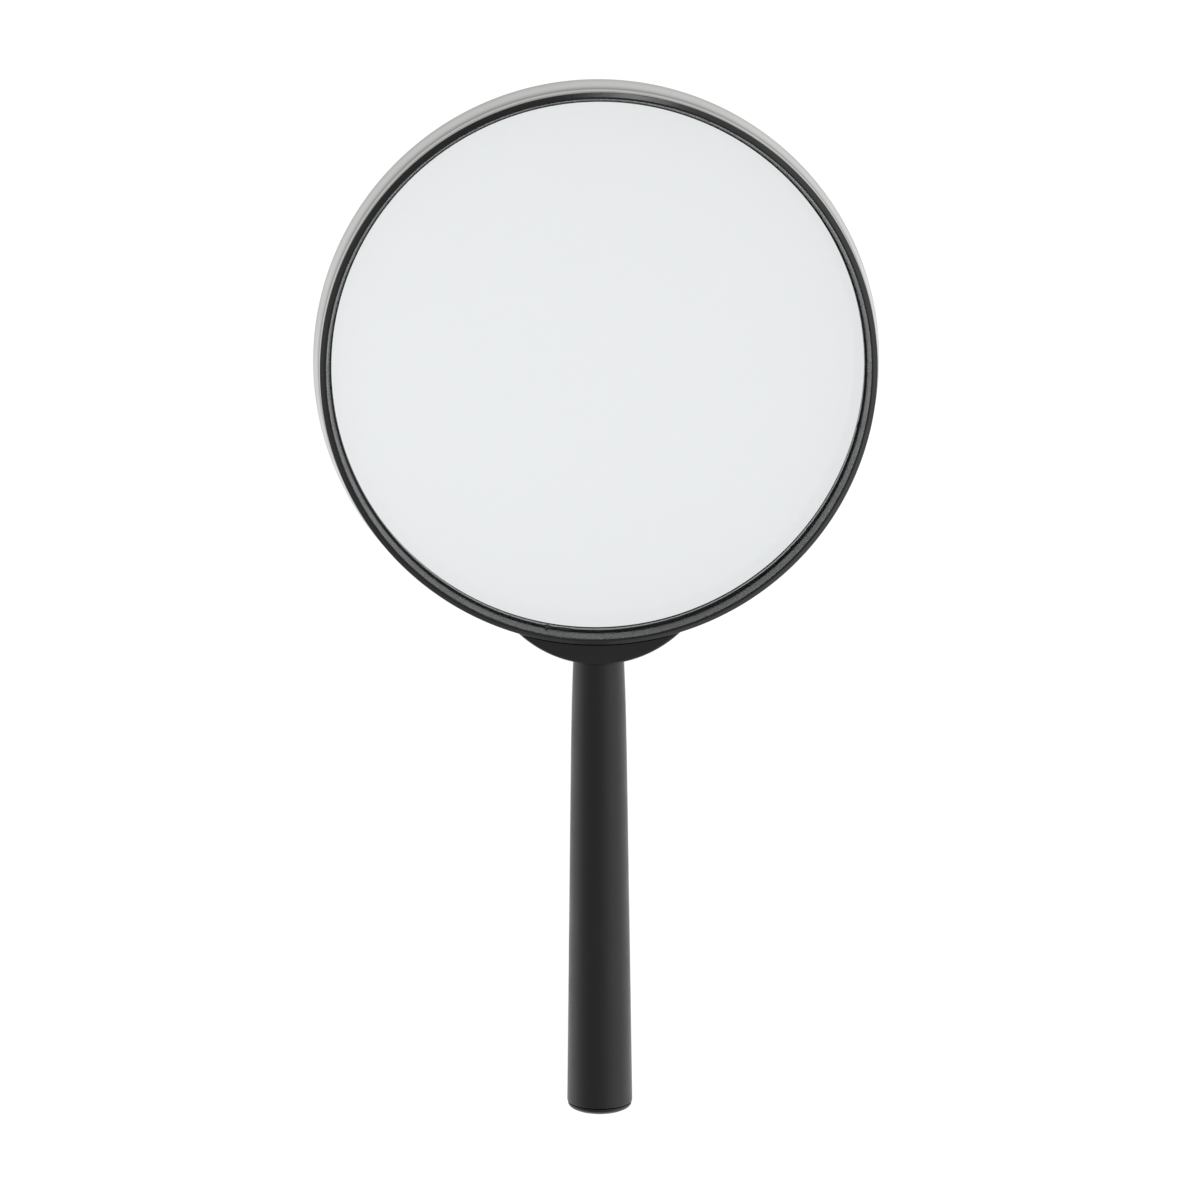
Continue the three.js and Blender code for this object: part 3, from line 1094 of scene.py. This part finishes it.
# ---- handle ------------------------------------------------------------------------
class MAGNIFIER_OT_handle(Operator):
    """Mould the tapered handle, its end cap and its threaded insert"""

    bl_idname = "magnifier.handle"
    bl_label = "Handle"

    def execute(self, context):
        size = context.scene.magnifier_handle
        screw = context.scene.magnifier_screw
        gap = context.scene.magnifier_rim.clearance
        insert_start, insert_end = reach("handle_insert")
        insert_bore = half_width("handle_insert") + gap / 2
        recess = screw.flats / math.sqrt(3) + gap
        cap_start, cap_end = reach("handle_end_cap")
        plug = size.foot - CAP_LEDGE
        cap_seat = size.end + gap / 2
        plug_bore = plug + gap / 2
        bm = bmesh.new()
        outline(
            bm,
            [
                (recess, size.start, 0.15),
                (size.top, size.start, size.edge),
                ((size.top + size.neck) / 2, size.start + 0.4 * size.neck_length, 2),
                (size.neck, size.start + size.neck_length, 5),
                (size.foot, size.end, size.edge),
                (plug_bore, size.end, 0.1),
                (plug_bore, cap_start - gap),
                (plug - PLUG_STEP, cap_start - gap),
                (HANDLE_BORE, insert_end + gap),
                (insert_bore, insert_end + gap),
                (insert_bore, insert_start - gap),
                (recess, insert_start - gap),
            ],
        )
        turn(bm, GRIP_STEPS)
        made = as_object(bm, "moulded_handle", ALONG_HANDLE)
        fitted(made, "handle", "grip", finish_for(context, "handle"))

        dome = size.foot - gap / 2
        bm = bmesh.new()
        outline(
            bm,
            [
                (0, cap_seat),
                (plug - PLUG_WALL, cap_seat),
                (plug - PLUG_WALL, cap_start, 0.2),
                (plug, cap_start, 0.3),
                (plug, cap_seat),
                (dome, cap_seat, 0.08),
                (dome, cap_end, dome - 0.1, size.dome - 0.2),
                (0, cap_end),
            ],
        )
        turn(bm, GRIP_STEPS)
        made = as_object(bm, "domed_end_cap", ALONG_HANDLE)
        fitted(made, "handle_end_cap", "grip", finish_for(context, "handle"))

        bore = screw.radius + THREAD_ROOM
        outer = half_width("handle_insert")
        waist = outer - INSERT_GROOVE_DEPTH
        middle = (insert_start + insert_end) / 2
        bm = bmesh.new()
        outline(
            bm,
            [
                (bore, insert_start, 0.15),
                (outer, insert_start, 0.25),
                (outer, middle - INSERT_GROOVE_HALF),
                (waist, middle - INSERT_GROOVE_HALF),
                (waist, middle + INSERT_GROOVE_HALF),
                (outer, middle + INSERT_GROOVE_HALF),
                (outer, insert_end, 0.25),
                (bore, insert_end, 0.15),
            ],
        )
        turn(bm, SMALL_STEPS)
        for vert in bm.verts:
            radius = vert.co.xy.length / MM
            between_teeth = round(math.degrees(math.atan2(vert.co.y, vert.co.x)) / KNURL_ANGLE) % 2
            if radius > outer - 0.02 and between_teeth:
                push(vert, radius - KNURL_DEPTH)
        made = as_object(bm, "knurled_insert", ALONG_HANDLE)
        fitted(made, "handle_insert", "grip", finish_for(context, "insert"), sharp=20)
        return {"FINISHED"}


# ---- stage ---------------------------------------------------------------------------
# Brightness of the studio's walls and ceiling from the left, -1, over the top, 0, to the right, 1.
SKY = (
    (-1, 1.0), (-0.97, 0.66), (-0.9, 0.46), (-0.75, 0.33), (-0.2, 0.24), (0.1, 0.3),
    (0.4, 0.5), (0.75, 0.92), (0.9, 0.97), (1, 0.85),
)

# Each lamp: name, place in metres, side in metres, power in watts and whether polished faces mirror it.
LAMPS = (
    ("ceiling", (0.0, 0.2, 1.6), 1.8, 14, False),
    ("back", (0.25, 1.35, 0.42), 0.35, 2.0, True),
)

# The camera stands one metre from the point it aims at, which is given in mm from the ring's centre.
# Its angles are in degrees.
AIM = (-0.227, -42.91, 7.5)
CAMERA_LOW = 11.3
CAMERA_SIDE = 2.5
CAMERA_ROLL = -0.15
FOCAL_LENGTH = 160.7
SENSOR_WIDTH = 36
FLOOR_HALF = 4


class MAGNIFIER_OT_stage(Operator):
    """Lay the pale floor, hang the soft lamps and set the camera"""

    bl_idname = "magnifier.stage"
    bl_label = "Stage"

    def execute(self, context):
        scene = context.scene
        scene.view_settings.view_transform = "Standard"
        scene.view_settings.look = "None"

        bm = bmesh.new()
        bmesh.ops.create_grid(bm, x_segments=8, y_segments=8, size=FLOOR_HALF)
        floor = as_object(bm, "floor", Matrix.Identity(4))
        floor.data.materials.append(finish_for(context, "floor"))

        world = bpy.data.worlds.new("studio")
        scene.world = world
        world.use_nodes = True
        tree = world.node_tree
        tree.nodes.clear()
        where = add(tree, "ShaderNodeTexCoord")
        split = add(tree, "ShaderNodeSeparateXYZ", {"Vector": where.outputs["Generated"]})
        across = add(tree, "ShaderNodeMapRange", {"Value": split.outputs["X"], "From Min": -1.0})
        walls = add(tree, "ShaderNodeValToRGB", {"Fac": across.outputs["Result"]})
        stops = walls.color_ramp.elements
        for side, bright in SKY[1:-1]:
            stops.new((side + 1) / 2).color = (bright, bright, bright, 1)
        for stop, (_, bright) in ((stops[0], SKY[0]), (stops[-1], SKY[-1])):
            stop.color = (bright, bright, bright, 1)
        light = add(tree, "ShaderNodeBackground", {"Color": walls.outputs["Color"], "Strength": 1.0})
        add(tree, "ShaderNodeOutputWorld", {"Surface": light.outputs["Background"]})

        for name, place, side, power, mirrored in LAMPS:
            lamp = bpy.data.lights.new(f"soft_{name}", "AREA")
            lamp.shape = "SQUARE"
            lamp.size = side
            lamp.energy = power
            hung = bpy.data.objects.new(f"soft_{name}", lamp)
            hung.location = place
            hung.rotation_mode = "QUATERNION"
            hung.rotation_quaternion = (CENTRE - Vector(place)).to_track_quat("-Z", "Y")
            hung.visible_camera = False
            hung.visible_glossy = mirrored
            hung.visible_transmission = False
            scene.collection.objects.link(hung)

        aim = CENTRE + Vector(AIM) * MM
        low = math.radians(CAMERA_LOW)
        aside = math.radians(CAMERA_SIDE)
        roll = math.radians(CAMERA_ROLL)
        back = Vector((-math.sin(aside) * math.cos(low), math.sin(low), math.cos(aside) * math.cos(low)))
        level = Vector((0, 1, 0)).cross(back).normalized()
        upright = back.cross(level)
        right = level * math.cos(roll) + upright * math.sin(roll)
        up = upright * math.cos(roll) - level * math.sin(roll)
        camera = bpy.data.cameras.new("camera")
        camera.sensor_width = SENSOR_WIDTH
        camera.lens = FOCAL_LENGTH
        camera.clip_start = 0.01
        camera.clip_end = 20
        seen = bpy.data.objects.new("camera", camera)
        turned = Matrix((right, up, back)).transposed().to_4x4()
        seen.matrix_world = Matrix.Translation(aim + back) @ turned
        scene.collection.objects.link(seen)
        scene.camera = seen
        return {"FINISHED"}


class MAGNIFIER_PT_panel(Panel):
    """Lists the steps that build the magnifying glass"""

    bl_label = "Magnifying glass"
    bl_idname = "MAGNIFIER_PT_panel"
    bl_space_type = "VIEW_3D"
    bl_region_type = "UI"
    bl_category = "Magnifier"

    def draw(self, context):
        for operator in OPERATORS:
            self.layout.operator(operator.bl_idname)
        for group in GROUPS:
            box = self.layout.box()
            for name in GROUPS[group].__annotations__:
                box.prop(getattr(context.scene, group), name)


GROUPS = {
    "magnifier_lens": LensSizes,
    "magnifier_rim": RimSizes,
    "magnifier_saddle": SaddleSizes,
    "magnifier_handle": HandleSizes,
    "magnifier_screw": ScrewSizes,
    "magnifier_finishes": Finishes,
}
OPERATORS = (
    MAGNIFIER_OT_lens,
    MAGNIFIER_OT_bezels,
    MAGNIFIER_OT_band,
    MAGNIFIER_OT_saddle,
    MAGNIFIER_OT_rivets,
    MAGNIFIER_OT_screw,
    MAGNIFIER_OT_friction_washer,
    MAGNIFIER_OT_handle,
    MAGNIFIER_OT_stage,
)


def register():
    """Adds the sizes, the steps and the panel to Blender."""
    for group in GROUPS.values():
        bpy.utils.register_class(group)
    for name, group in GROUPS.items():
        setattr(bpy.types.Scene, name, PointerProperty(type=group))
    for made in (*OPERATORS, MAGNIFIER_PT_panel):
        bpy.utils.register_class(made)


def unregister():
    """Takes them out again, last first."""
    for made in reversed((*OPERATORS, MAGNIFIER_PT_panel)):
        bpy.utils.unregister_class(made)
    for name, group in GROUPS.items():
        delattr(bpy.types.Scene, name)
        bpy.utils.unregister_class(group)


def main():
    """Builds the magnifying glass and its stage."""
    register()
    bpy.ops.magnifier.lens()
    bpy.ops.magnifier.bezels()
    bpy.ops.magnifier.band()
    bpy.ops.magnifier.saddle()
    bpy.ops.magnifier.rivets()
    bpy.ops.magnifier.screw()
    bpy.ops.magnifier.friction_washer()
    bpy.ops.magnifier.handle()
    bpy.ops.magnifier.stage()


if __name__ == "__main__":
    main()
